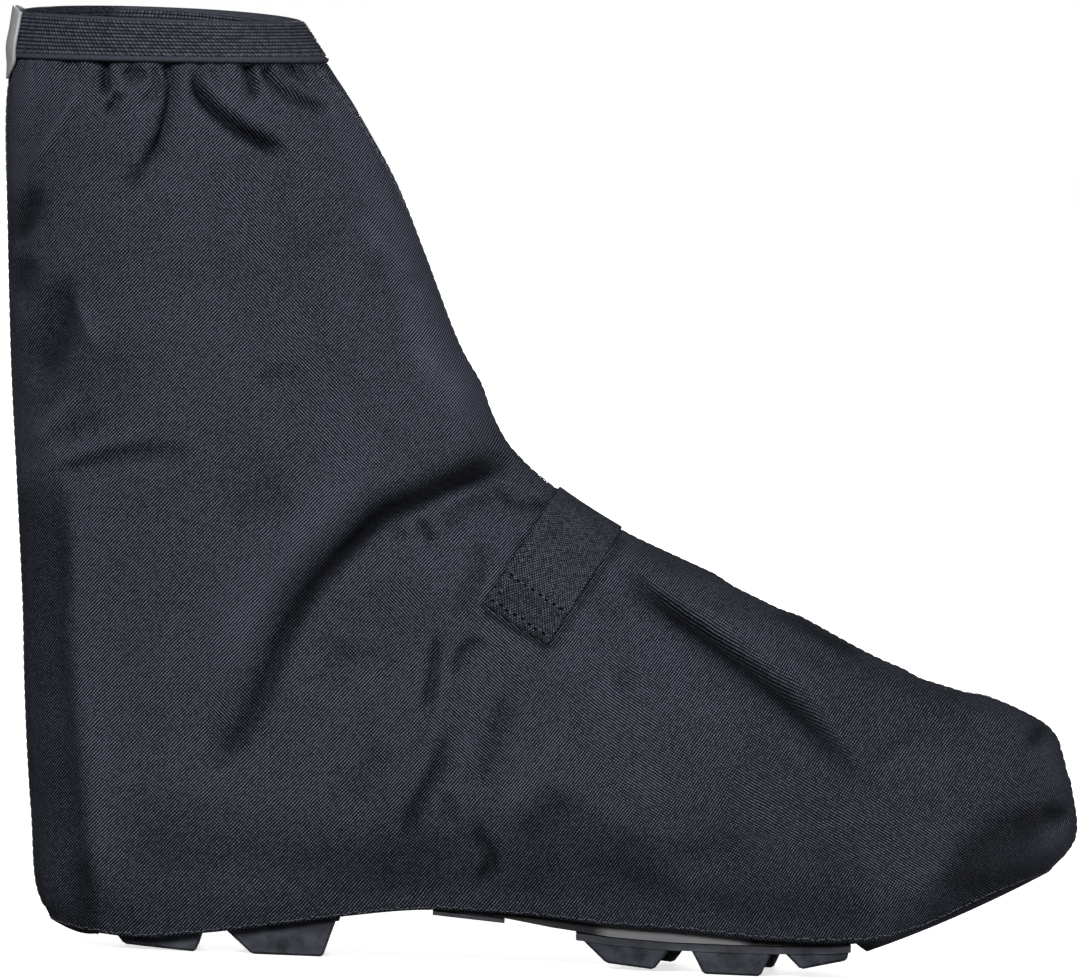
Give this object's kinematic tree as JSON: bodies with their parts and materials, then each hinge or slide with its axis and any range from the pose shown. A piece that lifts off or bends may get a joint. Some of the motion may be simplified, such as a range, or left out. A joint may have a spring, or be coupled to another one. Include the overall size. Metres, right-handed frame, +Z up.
{
  "type": "overshoe",
  "caption": "Cycling rain overshoe for the right foot: hollow fabric gaiter with elastic collar, instep strap, strap under the arch, reflective tab and lugged sole.",
  "frame": {"origin": "middle of the footprint's box, on the floor that the lugs stand on", "axes": "+X from heel to toe, +Y to the inner side of the right foot, +Z up"},
  "size_m": [0.3156, 0.1054, 0.2666],
  "materials": {
    "gaiter_fabric": "coated plain weave",
    "elastic": "knitted elastic",
    "strap_tape": "woven tape",
    "reflective_tape": "light grey reflective tape",
    "nylon_plate": "moulded, satin",
    "tread_rubber": "moulded, matt"
  },
  "bodies": {
    "root": {"upper": "gaiter_fabric", "collar_band": "elastic", "instep_strap": "strap_tape", "underfoot_strap": "elastic", "back_tab": "reflective_tape", "sole_plate": "nylon_plate", "heel_tread": "tread_rubber", "forefoot_tread": "tread_rubber"}
  },
  "joints": []
}
